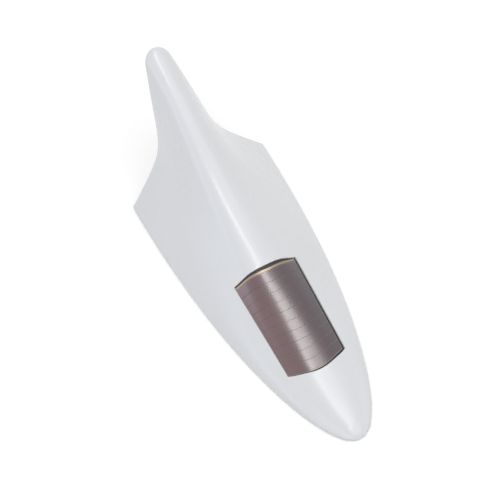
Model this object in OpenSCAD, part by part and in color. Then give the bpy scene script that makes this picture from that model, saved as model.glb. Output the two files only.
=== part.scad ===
// Stick-on shark fin for a car roof, with a solar panel on its nose and a rear lamp.
// Millimetres. The roof is z = 0, the nose points to -Y and the tail to +Y.

/* [Node] */
// Piece to build, or all of them

/* [Fin body] */
// Length of the base along the roof
base_l = 161.7; // [130:0.1:210]
// Width of the base at the tail
base_w = 66; // [54:1:84]
// Height of the fin tip above the roof
fin_h = 79.5; // [60:0.5:100]
// How far the tip leans back past the tail of the base
tip_sweep = 16.7; // [6:0.1:24]
// Height at which the trailing edge starts to lean back
sweep_from = 24; // [22:0.5:34]
// Wall of the moulding
wall = 2.2; // [1.6:0.1:3]
// Wall of the upright tail face
tail_wall = 2.4; // [1.8:0.1:3.2]
// Air under the rim of the moulding
rim_z = 0.5; // [0.2:0.1:1]
// Rounding of the nose in side view
nose_r = 6; // [3:0.5:9]
// How much of the pointed plan is cut off at the nose
nose_cut = 1.3; // [0.6:0.1:3]
// Length over which the cut nose is rounded in plan
nose_blunt = 1.2; // [0.5:0.1:3]
// Rounding of the crest where it meets the tail face
tip_r = 3; // [2:0.5:6]

/* [Solar panel] */
// Width of the panel window at its rear end
window_rear_w = 30.3; // [22:0.1:36]
// Width of the panel window at its front end
window_front_w = 27.8; // [20:0.1:32]
// Place of the window's rear corners, as a share of the base length
window_to = 0.5368; // [0.5:0.001:0.56]
// Place of the window's front corners, as a share of the base length
window_from = 0.2424; // [0.23:0.001:0.3]
// Bow of the rear edge of the window towards the nose
rear_bow = 1.7; // [0:0.1:4]
// Bow of the front edge of the window towards the nose
front_bow = 5.6; // [2:0.1:7]
// Thickness left in the moulding around its window
window_lip = 0.8; // [0.6:0.05:1]
// Thickness of the film
film_t = 0.3; // [0.2:0.05:0.4]
// Thickness of the tape under the film
tape_t = 0.2; // [0.1:0.05:0.3]
// Thickness of a cell strip on the film
cell_t = 0.1; // [0.06:0.01:0.15]
// Number of cell strips
cell_count = 10; // [6:1:16]
// Scribed gap between two cell strips
cell_gap = 0.35; // [0.2:0.05:0.8]
// Bare margin of the film around its cell strips
cell_margin = 0.45; // [0.3:0.05:1.5]
// Width of the contact strip along the film's rear edge
contact_w = 0.9; // [0.5:0.1:2]
// Gap between the film and the sides of its window
film_gap = 0.4; // [0.3:0.05:0.8]
// How far the film lies to the left in its window
film_shift = 0.25; // [0:0.05:0.25]
// Slot left behind the middle of the film's rear edge
film_slot = 2; // [0.5:0.1:3]
// Thickness of the carrier under the window
carrier_t = 1.4; // [0.8:0.1:1.6]
// Overlap of the carrier under the moulding
carrier_lap = 2.4; // [1.5:0.1:3]

/* [Base] */
// Thickness of the adhesive foam pad
pad_t = 1.2; // [0.8:0.1:2]
// Edge of the foam pad inside the edge of the base plate
pad_inset = 1; // [0.5:0.1:3]
// Thickness of the base plate
plate_t = 2.2; // [1.6:0.1:3]
// Thickness of the wider lip around the bottom of the base plate
lip_t = 0.9; // [0.6:0.1:1.2]
// Gap between the base plate and the moulding
plate_gap = 0.35; // [0.25:0.05:0.6]
// Length of the locating tongue at the nose
tongue_l = 5; // [3:0.5:7]
// Width of the locating tongue
tongue_w = 6; // [4:0.5:8]
// Distance from the tail to the two screw rows
screw_rows = [23, 66]; // [18:1:70]
// Diameter of the screw thread
screw_d = 2.6; // [2:0.1:3]
// Length of the screws
screw_l = 6.4; // [5:0.1:7]
// Diameter of the screw heads
head_d = 4.6; // [4:0.1:5.2]
// Height of the screw heads
head_h = 1.3; // [1:0.1:1.6]
// Diameter of the screw bosses
boss_d = 5.6; // [5:0.1:6.5]
// Height of the boss tops above the roof
boss_top = 8.6; // [8.2:0.1:9.4]

/* [Rear lamp] */
// Width of the lamp window in the tail face
lamp_w = 25; // [22:0.5:26]
// Height of the lamp window
lamp_h = 14; // [13:0.5:14.5]
// Height of the lamp window's lower edge
lamp_z = 6.6; // [6.4:0.1:7.4]
// Corner radius of the lamp window
lamp_r = 2.5; // [1:0.1:4]
// Thickness of the lens flange
lens_t = 1.6; // [1.2:0.1:2]
// Lap of the lens flange behind the tail face
lens_lap = 1.2; // [0.8:0.1:1.3]
// Gap around the lens in its window
lens_gap = 0.2; // [0.1:0.05:0.4]
// Number of lamps in a row
led_cols = 4; // [3:1:4]
// Number of rows of lamps
led_rows = 2; // [1:1:2]
// Diameter of a lamp
led_d = 5; // [3:0.5:5]
// Length of a lamp body
led_l = 8; // [5:0.5:8.6]
// Distance between neighbouring lamps
led_pitch = 6.4; // [6:0.1:6.6]
// Gap between the lamps and the lens
led_gap = 0.6; // [0.3:0.1:2]
// Width of the lamp board
lamp_board_w = 27; // [25:0.5:28]
// Height of the lamp board
lamp_board_h = 15; // [14:0.5:15.5]

/* [Electronics] */
// Thickness of both circuit boards
board_t = 1.2; // [1:0.1:1.6]
// Width of the main board
board_w = 24; // [22:0.5:28]
// Length of the main board
board_l = 28; // [26:0.5:30]
// Gap between the main board and the battery
board_gap = 2.4; // [2:0.1:4]
// Height of the posts under the main board
post_h = 3; // [2:0.5:4]
// Distance of the posts from the board's edges
post_inset = 3; // [2.6:0.1:4]
// Diameter of the posts
post_d = 4.6; // [4:0.1:5]
// Diameter of a battery cell
cell_d = 11.6; // [10:0.1:12]
// Height of a battery cell
cell_h = 5.4; // [4.8:0.1:6]
// Number of battery cells
battery_cells = 3; // [2:1:3]
// Thickness of the shrink sleeve on the battery
sleeve_t = 0.3; // [0.2:0.05:0.5]
// Gap between the battery and the lamp board
battery_gap = 13.4; // [11:0.1:15]
// Distance between the centres of the main board's front and the switch
switch_bay = 24; // [20:0.5:28]
// Length of the control chip
chip_l = 4; // [3:0.1:4.4]
// Width of the control chip
chip_w = 6; // [5:0.1:6.2]
// Diameter of the vibration switch
shaker_d = 4.6; // [4:0.1:4.8]
// Length of the vibration switch
shaker_l = 9; // [7:0.1:9.4]
// Diameter of the capacitor
can_d = 5; // [4:0.1:5.2]
// Height of the capacitor
can_h = 7; // [5:0.1:8]
// Diameter of the drive transistor
transistor_d = 4.6; // [4:0.1:4.8]
// Height of the drive transistor
transistor_h = 4.8; // [4:0.1:6]
// Diameter of the charge diode
diode_d = 2.4; // [2:0.1:2.8]
// Length of the charge diode
diode_l = 6; // [5:0.1:6.6]
// Gap between neighbouring parts on the main board
part_gap = 0.8; // [0.4:0.1:1]
// Diameter of the board screws' thread
board_screw_d = 1.6; // [1.4:0.1:1.8]
// Length of the board screws' thread
board_screw_l = 3.4; // [3:0.1:4]
// Diameter of the board screws' heads
board_head_d = 3.2; // [2.8:0.1:3.4]
// Diameter of the insulated wires
wire_d = 1.1; // [0.8:0.1:1.4]
// How far a wire runs before it bends
wire_run = 4; // [3:0.5:5]

/* [Switch] */
// Length of the switch case
switch_l = 9; // [8.5:0.1:11]
// Width of the switch case
switch_w = 4.6; // [4.4:0.1:6]
// Height of the switch case
switch_h = 4; // [3.6:0.1:4.5]
// Wall of the switch case
switch_wall = 0.6; // [0.5:0.05:0.8]
// Travel of the slider
switch_travel = 2; // [1:0.1:2.4]
// Length of the slider's knob along its travel
knob_l = 1.8; // [1.4:0.1:2.4]
// Width of the slider's knob
knob_w = 1.6; // [1.2:0.1:2]
// Running gap of the slider in its case
slide_gap = 0.15; // [0.1:0.05:0.3]
// Length of the finger window in the foam pad
finger_l = 14; // [12:0.5:20]
// Width of the finger window in the foam pad
finger_w = 8; // [6:0.5:12]

/* [Fit] */
// Gap between two flat pieces that are glued or lie on each other
seat = 0.05; // [0.02:0.01:0.1]
// Gap between two curved sheets that are glued to each other
bond = 0.1; // [0.06:0.01:0.12]

/* [Hidden] */
$fn = 40;
mid = base_l / 2;
plate_z = pad_t;
plate_top = plate_z + plate_t;

// Cross-sections of the body from nose to tail. Each one has its place along the
// base, crest height, shoulder half width, shoulder drop, the angles of the
// shoulder and of the skirt above the roof, and the pull of both curve ends.
STATIONS = [
    [0.000, 0.045, 0.590, 0.220, 26, 98, 0.58, 0.38],
    [0.067, 0.073, 0.590, 0.220, 28, 96, 0.58, 0.38],
    [0.252, 0.165, 0.520, 0.200, 34, 78, 0.40, 0.38],
    [0.548, 0.325, 0.400, 0.200, 44, 64, 0.42, 0.40],
    [0.771, 0.543, 0.240, 0.120, 60, 58, 0.50, 0.46],
    [0.9325, 0.872, 0.165, 0.080, 74, 56, 0.58, 0.53],
    [1.000, 1.000, 0.185, 0.075, 78, 54, 0.58, 0.59]];
ROWS = 34;
LOW = 10;
HIGH = 6;

// A smooth curve through column c of the stations
function grade(c, i) =
    (STATIONS[i + 1][c] - STATIONS[i][c]) / (STATIONS[i + 1][0] - STATIONS[i][0]);
function gap_of(i) = STATIONS[i + 1][0] - STATIONS[i][0];
function inner_slope(c, i) =
    let (a = grade(c, i - 1), b = grade(c, i))
    let (wa = 2 * gap_of(i) + gap_of(i - 1), wb = gap_of(i) + 2 * gap_of(i - 1))
    a * b <= 0 ? 0 : (wa + wb) / (wa / a + wb / b);
function slope(c, i) =
    i == 0 ? 1.5 * grade(c, 0) - 0.5 * inner_slope(c, 1)
    : i == len(STATIONS) - 1 ? 1.5 * grade(c, i - 1) - 0.5 * inner_slope(c, i - 1)
    : inner_slope(c, i);
function span(k, i = 0) =
    i >= len(STATIONS) - 2 || k <= STATIONS[i + 1][0] ? i : span(k, i + 1);
function along(c, k) =
    let (i = span(k), g = gap_of(i), q = (k - STATIONS[i][0]) / g)
    let (a = STATIONS[i][c], b = STATIONS[i + 1][c])
    a * (2 * q * q * q - 3 * q * q + 1) + b * (3 * q * q - 2 * q * q * q)
    + g * slope(c, i) * (q * q * q - 2 * q * q + q)
    + g * slope(c, i + 1) * (q * q * q - q * q);

// Outline of the base and height of the crest at t mm from the nose
function nose_round(t, r) = t >= r ? 1 : sqrt(max(0, 1 - pow(1 - t / r, 2)));
function plan_x(t) =
    let (k = (t + nose_cut) / (base_l + nose_cut))
    base_w / 2 * pow(max(0, 1 - pow(max(0, 1 - k), 2.2)), 1 / 1.69) * nose_round(t, nose_blunt);
function tip_round(t) =
    t <= base_l - tip_r ? 0
    : tip_r * (1 - sqrt(max(0, 1 - pow((t - base_l + tip_r) / tip_r, 2))));
function crest_z(t) =
    rim_z + (fin_h * along(1, t / base_l) - rim_z) * nose_round(t, nose_r) - tip_round(t);
function toward(angle) = [-cos(angle), sin(angle)];

// Seven control points of one half section at t mm from the nose
function section(t) =
    let (k = t / base_l, w = plan_x(t), h = crest_z(t))
    let (foot = [w, rim_z], top = [0, h])
    let (shoulder = [along(2, k) * w, max(rim_z, h * (1 - along(3, k)))])
    let (low = norm(shoulder - foot), high = norm(top - shoulder))
    [foot,
     foot + along(6, k) * low * toward(along(5, k)),
     shoulder - along(7, k) * low * toward(along(4, k)),
     shoulder,
     shoulder + 0.36 * high * toward(along(4, k)),
     top + [0.55 * shoulder[0], 0],
     top];
function bezier(a, b, c, d, q) =
    pow(1 - q, 3) * a + 3 * pow(1 - q, 2) * q * b + 3 * (1 - q) * q * q * c + q * q * q * d;
// The section runs from u = 0 at the foot over u = 1 at the shoulder to u = 2 at the crest
function on_section(s, u) =
    u <= 1 ? bezier(s[0], s[1], s[2], s[3], u) : bezier(s[3], s[4], s[5], s[6], u - 1);
function lean(t, z) =
    tip_sweep * pow(t / base_l, 3) * pow(max(0, (z - sweep_from) / (fin_h - sweep_from)), 1.5);
function place(t, p) = [p[0], t - mid + lean(t, p[1]), p[1]];

// Three neighbouring sections give the skin and its normal at one row
STEP = 0.05;
function row_of(t) = [t, section(t), section(max(0.02, t - STEP)), section(min(base_l, t + STEP)),
                      max(0.02, t - STEP), min(base_l, t + STEP)];
function skin(row, u) = place(row[0], on_section(row[1], u));
function skin_normal(row, u) =
    let (ua = max(0, u - 0.01), ub = min(2, u + 0.01))
    let (du = skin(row, ub) - skin(row, ua))
    let (dt = place(row[5], on_section(row[3], u)) - place(row[4], on_section(row[2], u)))
    let (n = cross(dt, du))
    n / norm(n);
function below_skin(row, u, d) =
    let (p = skin(row, u) - d * skin_normal(row, u))
    u >= 2 ? [0, p[1], p[2]] : p;

// Parameter u where the sheet d mm below the skin is at height z, or at half width x
function u_at_z(row, d, z, a = 0, b = 2, n = 18) =
    n == 0 ? (a + b) / 2
    : below_skin(row, (a + b) / 2, d)[2] < z ? u_at_z(row, d, z, (a + b) / 2, b, n - 1)
    : u_at_z(row, d, z, a, (a + b) / 2, n - 1);
function u_at_x(row, x, a = 0, b = 2, n = 18) =
    n == 0 ? (a + b) / 2
    : skin(row, (a + b) / 2)[0] > x ? u_at_x(row, x, (a + b) / 2, b, n - 1)
    : u_at_x(row, x, a, (a + b) / 2, n - 1);
function outer_x(t, z) = let (row = row_of(t)) below_skin(row, u_at_z(row, 0, z), 0)[0];
function inner_x(t, z) = let (row = row_of(t)) below_skin(row, u_at_z(row, wall, z), wall)[0];

// Grid of the outer or the inner skin, one list of points for each row
function row_spots(a, b) = [for (i = [0:ROWS]) a + (b - a) * (1 - cos(180 * i / ROWS)) / 2];
function us(first) =
    [for (j = [0:LOW + HIGH]) let (q = j <= LOW ? j / LOW : 1 + (j - LOW) / HIGH)
        first + (2 - first) * q / 2];
function half_row(row, d, first) = [for (u = us(first)) below_skin(row, u, d)];
function mirror_x(p) = [-p[0], p[1], p[2]];
function full_row(h) =
    let (n = len(h)) [for (j = [0:2 * n - 2]) j < n ? mirror_x(h[j]) : h[2 * n - 2 - j]];
function skin_grid(a, b, d) =
    [for (t = row_spots(a, b))
        let (row = row_of(t), first = d == 0 ? 0 : u_at_z(row, d, rim_z))
        [for (p = full_row(half_row(row, d, first))) [p[0], p[1], max(rim_z, p[2])]]];
function flat(grid) = [for (row = grid) each row];

CAVITY_FRONT = nose_r + 3;

module hollow_body() {
    outer = skin_grid(0.2, base_l, 0);
    inner = skin_grid(CAVITY_FRONT, base_l - tail_wall, wall);
    m = len(outer[0]);
    n = len(outer);
    half = (m - 1) / 2;
    o = n * m;
    skins = [for (i = [0:n - 2], j = [0:m - 2])
        let (a = i * m + j, b = o + a)
        each [[a, a + m + 1, a + 1], [a, a + m, a + m + 1],
              [b, b + 1, b + m + 1], [b, b + m + 1, b + m]]];
    rims = [for (i = [0:n - 2])
        let (a = i * m, b = a + m - 1)
        each [[a, o + a + m, a + m], [a, o + a, o + a + m],
              [b, b + m, o + b + m], [b, o + b + m, o + b]]];
    ends = [for (j = [0:half - 1], first = [0, o + (n - 1) * m])
        let (a = first + j, b = first + m - 1 - j)
        each [[a, a + 1, b], if (j < half - 1) [a + 1, b - 1, b]]];
    backs = [for (j = [0:half - 1], first = [o, (n - 1) * m])
        let (a = first + j, b = first + m - 1 - j)
        each [[a, b, a + 1], if (j < half - 1) [a + 1, b, b - 1]]];
    q = (n - 1) * m;
    lips = [[0, o + m - 1, o], [0, m - 1, o + m - 1],
            [q, o + q + m - 1, q + m - 1], [q, o + q, o + q + m - 1]];
    polyhedron(concat(flat(outer), flat(inner)), concat(skins, rims, ends, backs, lips));
}

// Edges of the solar panel's window at half width x
window_front = window_from * base_l;
window_rear = window_to * base_l;
function arc_drop(x, half) = 1 - pow(min(1, abs(x) / half), 2);
function rear_edge(x) = window_rear - rear_bow * arc_drop(x, window_rear_w / 2);
function front_edge(x) = window_front - front_bow * arc_drop(x, window_front_w / 2);
function across(n) = [for (i = [0:n]) 2 * i / n - 1];

module window_prism() {
    translate([0, -mid, 0])
        linear_extrude(height = fin_h)
            polygon(concat(
                [for (q = across(12)) [q * window_front_w / 2, front_edge(q * window_front_w / 2)]],
                [for (q = across(12)) [-q * window_rear_w / 2, rear_edge(q * window_rear_w / 2)]]));
}

// A sheet that follows the skin from depth d0 to d1. The margins widen it past the window
// at its sides, front and rear, dip pulls its rear edge forward, shift moves it across,
// and v0 to v1 is the share of its length that is built.
function sheet_point(q, v, d, margins, dip, shift) =
    let (xf = q * (window_front_w / 2 + margins[0]), xr = q * (window_rear_w / 2 + margins[0]))
    let (tf = front_edge(xf) - margins[1])
    let (tr = rear_edge(xr) + margins[2] - dip * arc_drop(xr, window_rear_w / 2))
    let (t = tf + (tr - tf) * v, x = xf + (xr - xf) * v + shift)
    let (row = row_of(t), p = below_skin(row, u_at_x(row, abs(x)), d))
    [x < 0 ? -p[0] : p[0], p[1], p[2]];

module sheet(d0, d1, margins, dip = 0, shift = 0, v0 = 0, v1 = 1, nx = 16, nv = cell_count) {
    top = [for (i = [0:nv]) [for (q = across(nx))
        sheet_point(q, v0 + (v1 - v0) * i / nv, d0, margins, dip, shift)]];
    low = [for (i = [0:nv]) [for (q = across(nx))
        sheet_point(q, v0 + (v1 - v0) * i / nv, d1, margins, dip, shift)]];
    m = nx + 1;
    o = (nv + 1) * m;
    faces = concat(
        [for (i = [0:nv - 1], j = [0:nx - 1]) let (a = i * m + j)
            each [[a, a + m, a + m + 1], [a, a + m + 1, a + 1],
                  [o + a, o + a + m + 1, o + a + m], [o + a, o + a + 1, o + a + m + 1]]],
        [for (i = [0:nv - 1]) let (a = i * m, b = i * m + nx)
            each [[a, o + a, o + a + m], [a, o + a + m, a + m],
                  [b, b + m, o + b + m], [b, o + b + m, o + b]]],
        [for (j = [0:nx - 1]) let (a = j, b = nv * m + j)
            each [[a, a + 1, o + a + 1], [a, o + a + 1, o + a],
                  [b, o + b, o + b + 1], [b, o + b + 1, b + 1]]]);
    polyhedron(concat(flat(top), flat(low)), faces);
}

// Rounded rectangle as a list of points, centred on the origin
function rounded(w, h, r, n = 5) =
    [for (c = [[1, 1, 0], [-1, 1, 90], [-1, -1, 180], [1, -1, 270]], i = [0:n])
        [c[0] * (w / 2 - r) + r * cos(c[2] + 90 * i / n),
         c[1] * (h / 2 - r) + r * sin(c[2] + 90 * i / n)]];

module upright(y, thick) {
    translate([0, y + thick, 0]) rotate([90, 0, 0]) linear_extrude(height = thick) children();
}

LAMP_C = lamp_z + lamp_h / 2;

module at_screws() {
    for (row = screw_rows, side = [-1, 1])
        translate([side * (outer_x(base_l - row, boss_top) - boss_d / 2 - wall / 2), mid - row, 0])
            children();
}

// Depths below the skin of the sheets in the window, and their margins
CARRIER_TOP = window_lip + bond;
TAPE_TOP = CARRIER_TOP - bond - tape_t;
FILM_TOP = TAPE_TOP - bond - film_t;
CELL_TOP = FILM_TOP - bond - cell_t;
REBATE = carrier_lap + plate_gap;
BARE = film_gap + cell_margin;
CELL_REAR = BARE + contact_w + cell_gap;
TAPE_EDGE = film_gap + wire_d + 0.7;
function all_round(a) = [a, a, a];

module fin_shell() {
    color("white") difference() {
        union() {
            hollow_body();
            at_screws() translate([0, 0, plate_top + seat])
                cylinder(d = boss_d, h = boss_top - plate_top - seat);
            translate([-tongue_w / 2, CAVITY_FRONT - 1 - mid, rim_z])
                cube([tongue_w, tongue_l - 0.5, plate_z - seat - rim_z]);
        }
        window_prism();
        sheet(window_lip, wall + 1, all_round(REBATE));
        upright(mid - tail_wall - 3, tail_wall + 6) translate([0, LAMP_C])
            lens_outline(0);
        upright(mid - tail_wall - 3, 3) translate([0, LAMP_C])
            lens_outline(lens_lap + seat);
        at_screws() translate([0, 0, plate_z])
            cylinder(d = screw_d + 2 * seat, h = screw_l + 0.4);
    }
}

// The two panel wires leave the film between its rear edge and the tape
PANEL_WIRE_X = 5;
PANEL_WIRE_T = rear_edge(PANEL_WIRE_X) - film_slot * arc_drop(PANEL_WIRE_X, window_rear_w / 2)
    - film_gap - wire_d / 2 - 0.2;
function depth_z(x, t, d) = let (row = row_of(t)) below_skin(row, u_at_x(row, x), d)[2];

module panel_carrier() {
    color("dimgray") difference() {
        sheet(CARRIER_TOP, CARRIER_TOP + carrier_t, all_round(carrier_lap));
        for (side = [-1, 1]) translate([side * PANEL_WIRE_X, PANEL_WIRE_T - mid, 0])
            cylinder(d = wire_d + 1.5, h = fin_h, $fn = 12);
    }
}

module panel_tape() {
    color("black") sheet(TAPE_TOP, TAPE_TOP + tape_t, all_round(-TAPE_EDGE), film_slot, -film_shift);
}

module solar_film() {
    color("tan") sheet(FILM_TOP, FILM_TOP + film_t, all_round(-film_gap), film_slot, -film_shift);
}

module cell_strips() {
    pitch = 1 / cell_count;
    share = cell_gap / (window_rear - window_front);
    color("rosybrown") for (i = [0:cell_count - 1])
        sheet(CELL_TOP, CELL_TOP + cell_t, [-BARE, -BARE, -CELL_REAR], film_slot, -film_shift,
              i * pitch + share / 2, (i + 1) * pitch - share / 2, nv = 1);
}

module contact_strip() {
    share = contact_w / (window_rear - window_front);
    color("wheat") sheet(CELL_TOP, CELL_TOP + cell_t, [-BARE, 0, -BARE], film_slot, -film_shift,
                         1 - share, 1, nv = 1);
}

// Outline of the base plate at height z, drawn in by d from the inside of the moulding
PLATE_FRONT = CAVITY_FRONT + tongue_l;
PLATE_REAR = base_l - tail_wall - plate_gap;
function plate_side(d, z) =
    [for (i = [0:24])
        let (t = PLATE_FRONT + (base_l - tail_wall - PLATE_FRONT) * sin(90 * i / 24))
        [inner_x(t, z + plate_gap) - plate_gap - d,
         min(max(t, PLATE_FRONT + d) - mid, PLATE_REAR - d - mid)]];
module plate_outline(d, z) {
    side = plate_side(d, z);
    n = len(side);
    polygon(concat(side, [for (i = [n - 1:-1:0]) [-side[i][0], side[i][1]]]));
}

// The lamp, the battery, the main board and the switch follow each other from the tail
BATTERY_R = cell_d / 2 + sleeve_t;
BATTERY_Z = plate_top + 0.8 + BATTERY_R;
BATTERY_L = battery_cells * cell_h + (battery_cells - 1) * seat;
LED_BACK = base_l - tail_wall - 2 * seat - lens_t - led_gap - led_l;
LAMP_BOARD_Z = plate_top + 0.8;
battery_at = LED_BACK - board_t - battery_gap - BATTERY_R;
board_front = battery_at - BATTERY_R - board_gap - board_l;
switch_at = board_front - switch_bay;

BOARD_Z = plate_top + post_h;
module at_posts() {
    for (sx = [-1, 1], y = [board_front + post_inset, board_front + board_l - post_inset])
        translate([sx * (board_w / 2 - post_inset), y - mid, 0]) children();
}

module slot_prism(w, l, z, h) {
    translate([-w / 2, switch_at - mid - l / 2, z]) cube([w, l, h]);
}

module base_plate() {
    guide = 3;
    color("gray") difference() {
        union() {
            translate([0, 0, plate_z]) linear_extrude(height = plate_t) plate_outline(0, plate_top);
            translate([0, 0, plate_z]) linear_extrude(height = lip_t) plate_outline(0, plate_z + lip_t);
            translate([-tongue_w / 2 + plate_gap, CAVITY_FRONT + 2 - mid, plate_z])
                cube([tongue_w - 2 * plate_gap, tongue_l + 1, plate_t / 2]);
            at_posts() translate([0, 0, plate_top - 0.5]) cylinder(d = post_d, h = post_h + 0.5);
            for (side = [-1, 1])
                translate([side * (BATTERY_L / 2 - 2) - 0.8, battery_at - mid - BATTERY_R - 1.5,
                           plate_top - 0.5])
                    cube([1.6, 2 * BATTERY_R + 3, BATTERY_R]);
            for (side = [-1, 1])
                translate([side * (lamp_board_w / 2 + guide / 2 - 0.5) - guide / 2,
                           LED_BACK - board_t - mid - 2, plate_top - 0.5])
                    cube([guide, board_t + 4, 7]);
            translate([0, switch_at - mid, plate_top]) switch_fence();
        }
        at_screws() {
            translate([0, 0, plate_z - 1]) cylinder(d = screw_d + 0.4, h = plate_t + 2);
            translate([0, 0, plate_z - seat])
                cylinder(d1 = head_d + 0.4, d2 = screw_d + 0.4, h = head_h + seat);
        }
        at_posts() translate([0, 0, plate_top - 0.5])
            cylinder(d = board_screw_d + 2 * seat, h = post_h + 1);
        translate([-BATTERY_L, battery_at - mid, BATTERY_Z]) rotate([0, 90, 0])
            cylinder(r = BATTERY_R + seat, h = 2 * BATTERY_L);
        translate([-lamp_board_w / 2 - seat, LED_BACK - board_t - mid - seat, LAMP_BOARD_Z - seat])
            cube([lamp_board_w + 2 * seat, board_t + 2 * seat, lamp_board_h]);
        slot_prism(KNOB_SLOT_L, KNOB_SLOT_W, plate_z - 1, plate_t + 2);
    }
}

module foam_pad() {
    color("black") difference() {
        linear_extrude(height = pad_t - seat) plate_outline(pad_inset, plate_z + lip_t);
        slot_prism(finger_l, finger_w, -1, pad_t + 2);
    }
}

module plate_screws() {
    color("silver") at_screws() translate([0, 0, plate_z + seat]) difference() {
        union() {
            cylinder(d1 = head_d, d2 = screw_d, h = head_h);
            cylinder(d = screw_d, h = screw_l - 0.8);
            translate([0, 0, screw_l - 0.8]) cylinder(d1 = screw_d, d2 = 1, h = 0.8);
        }
        for (a = [0, 90]) rotate([0, 0, a]) translate([-1.2, -0.25, -1]) cube([2.4, 0.5, 1.7]);
    }
}

module lens_outline(grow) {
    polygon(rounded(lamp_w + 2 * grow, lamp_h + 2 * grow, lamp_r + grow));
}
module rear_lens() {
    y = mid - tail_wall - seat;
    color("red") union() {
        upright(y - lens_t, lens_t) translate([0, LAMP_C]) lens_outline(lens_lap);
        upright(y - 0.4, tail_wall) translate([0, LAMP_C]) lens_outline(-lens_gap);
    }
}

module lamp_board() {
    color("green") translate([-lamp_board_w / 2, LED_BACK - board_t - mid, LAMP_BOARD_Z])
        cube([lamp_board_w, board_t - seat, lamp_board_h]);
}

module led(i) {
    col = i % led_cols;
    line = floor(i / led_cols);
    color("lightgray")
        translate([(col - (led_cols - 1) / 2) * led_pitch, LED_BACK - mid,
                   LAMP_BOARD_Z + lamp_board_h / 2 + (line - (led_rows - 1) / 2) * led_pitch])
            rotate([-90, 0, 0]) rotate_extrude() polygon(concat(
                [[0, 0], [led_d / 2 + 0.4, 0], [led_d / 2 + 0.4, 1], [led_d / 2, 1]],
                [for (a = [0:15:75]) [led_d / 2 * cos(a), led_l - led_d / 2 + led_d / 2 * sin(a)]],
                [[0, led_l]]));
}

module main_board() {
    color("darkgreen") difference() {
        translate([-board_w / 2, board_front - mid, BOARD_Z + seat]) cube([board_w, board_l, board_t]);
        at_posts() translate([0, 0, BOARD_Z - 1]) cylinder(d = board_screw_d + 0.6, h = board_t + 3);
    }
}

BOARD_TOP = BOARD_Z + seat + board_t;

module board_screws() {
    color("silver") at_posts() translate([0, 0, BOARD_TOP + seat]) union() {
        cylinder(d = board_head_d, h = 1.2);
        translate([0, 0, -board_screw_l]) cylinder(d = board_screw_d, h = board_screw_l + 0.2);
    }
}

// Places of the parts on the main board, across it and from its front edge
CHIP_X = 0.8;
SHAKER_X = CHIP_X - chip_w / 2 - part_gap - shaker_d / 2;
SHAKER_Y = (board_l - shaker_l - part_gap - transistor_d) / 2;
CAN_X = CHIP_X + chip_w / 2 + part_gap + can_d / 2;
DIODE_Y = 4.4;
module on_board(x, y) {
    translate([x, board_front + y - mid, BOARD_TOP + seat]) children();
}

module control_chip() {
    pin_pitch = 1.27;
    color("black") on_board(CHIP_X, board_l / 2) {
        translate([-chip_w / 2, -chip_l / 2, 0.5]) cube([chip_w, chip_l, 1.6]);
        for (side = [-1, 1], i = [-1.5:1:1.5])
            translate([i * pin_pitch - 0.2, side * (chip_l / 2 + 0.7) - 0.8, 0]) cube([0.4, 1.6, 0.7]);
    }
}

module vibration_switch() {
    color("gold") on_board(SHAKER_X, SHAKER_Y) rotate([-90, 0, 0])
        translate([0, -shaker_d / 2 - seat, 0]) cylinder(d = shaker_d, h = shaker_l);
}

module capacitor() {
    color("darkslategray") on_board(CAN_X, board_l / 2) difference() {
        cylinder(d = can_d, h = can_h);
        translate([0, 0, can_h]) cube([0.6 * can_d, 0.4, 0.6], center = true);
    }
}

module drive_transistor() {
    color("black") on_board(SHAKER_X, SHAKER_Y + shaker_l + part_gap + transistor_d / 2) intersection() {
        cylinder(d = transistor_d, h = transistor_h);
        translate([-transistor_d, -0.3 * transistor_d, 0])
            cube([2 * transistor_d, transistor_d, 2 * transistor_h]);
    }
}

module charge_diode() {
    color("black") on_board(0, DIODE_Y) translate([-diode_l / 2, 0, diode_d / 2 + seat])
        rotate([0, 90, 0]) cylinder(d = diode_d, h = diode_l);
}

module battery_cell(i) {
    color("silver") translate([-BATTERY_L / 2 + i * (cell_h + seat), battery_at - mid, BATTERY_Z])
        rotate([0, 90, 0]) union() {
            cylinder(d = cell_d - 2 * seat, h = cell_h - 0.5);
            cylinder(d = cell_d - 3, h = cell_h);
        }
}

module battery_sleeve() {
    color("royalblue") translate([-BATTERY_L / 2 - 0.6, battery_at - mid, BATTERY_Z])
        rotate([0, 90, 0]) difference() {
            cylinder(r = BATTERY_R, h = BATTERY_L + 1.2);
            translate([0, 0, -1]) cylinder(r = cell_d / 2, h = BATTERY_L + 4);
        }
}

// Switch: the slider's flange runs in the case, and its knob reaches down to the roof side
FLANGE_L = knob_l + 2.4;
FLANGE_H = 1;
KNOB_SLOT_L = knob_l + switch_travel + 2 * 0.4;
KNOB_SLOT_W = knob_w + 2 * 0.4;
CASE_FLOOR = plate_top + seat;
FLANGE_Z = CASE_FLOOR + switch_wall + slide_gap;

module switch_fence() {
    for (side = [-1, 1])
        translate([side * (switch_l / 2 + seat + 0.6) - 0.6, -switch_w / 2, -0.5])
            cube([1.2, switch_w, 2]);
}

module switch_case() {
    color("silver") difference() {
        slot_prism(switch_l, switch_w, CASE_FLOOR, switch_h);
        slot_prism(FLANGE_L + switch_travel + 2 * slide_gap, switch_w - 2 * switch_wall,
                   CASE_FLOOR + switch_wall, FLANGE_H + 2 * slide_gap);
        slot_prism(knob_l + switch_travel + 2 * slide_gap, knob_w + 2 * slide_gap,
                   CASE_FLOOR - 1, switch_wall + 2);
    }
}

module switch_slider() {
    color("black") translate([-switch_travel / 2, 0, 0]) union() {
        slot_prism(FLANGE_L, switch_w - 2 * switch_wall - 2 * slide_gap, FLANGE_Z, FLANGE_H);
        slot_prism(knob_l, knob_w, 0.4, FLANGE_Z + 0.3 - 0.4);
    }
}

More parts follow.
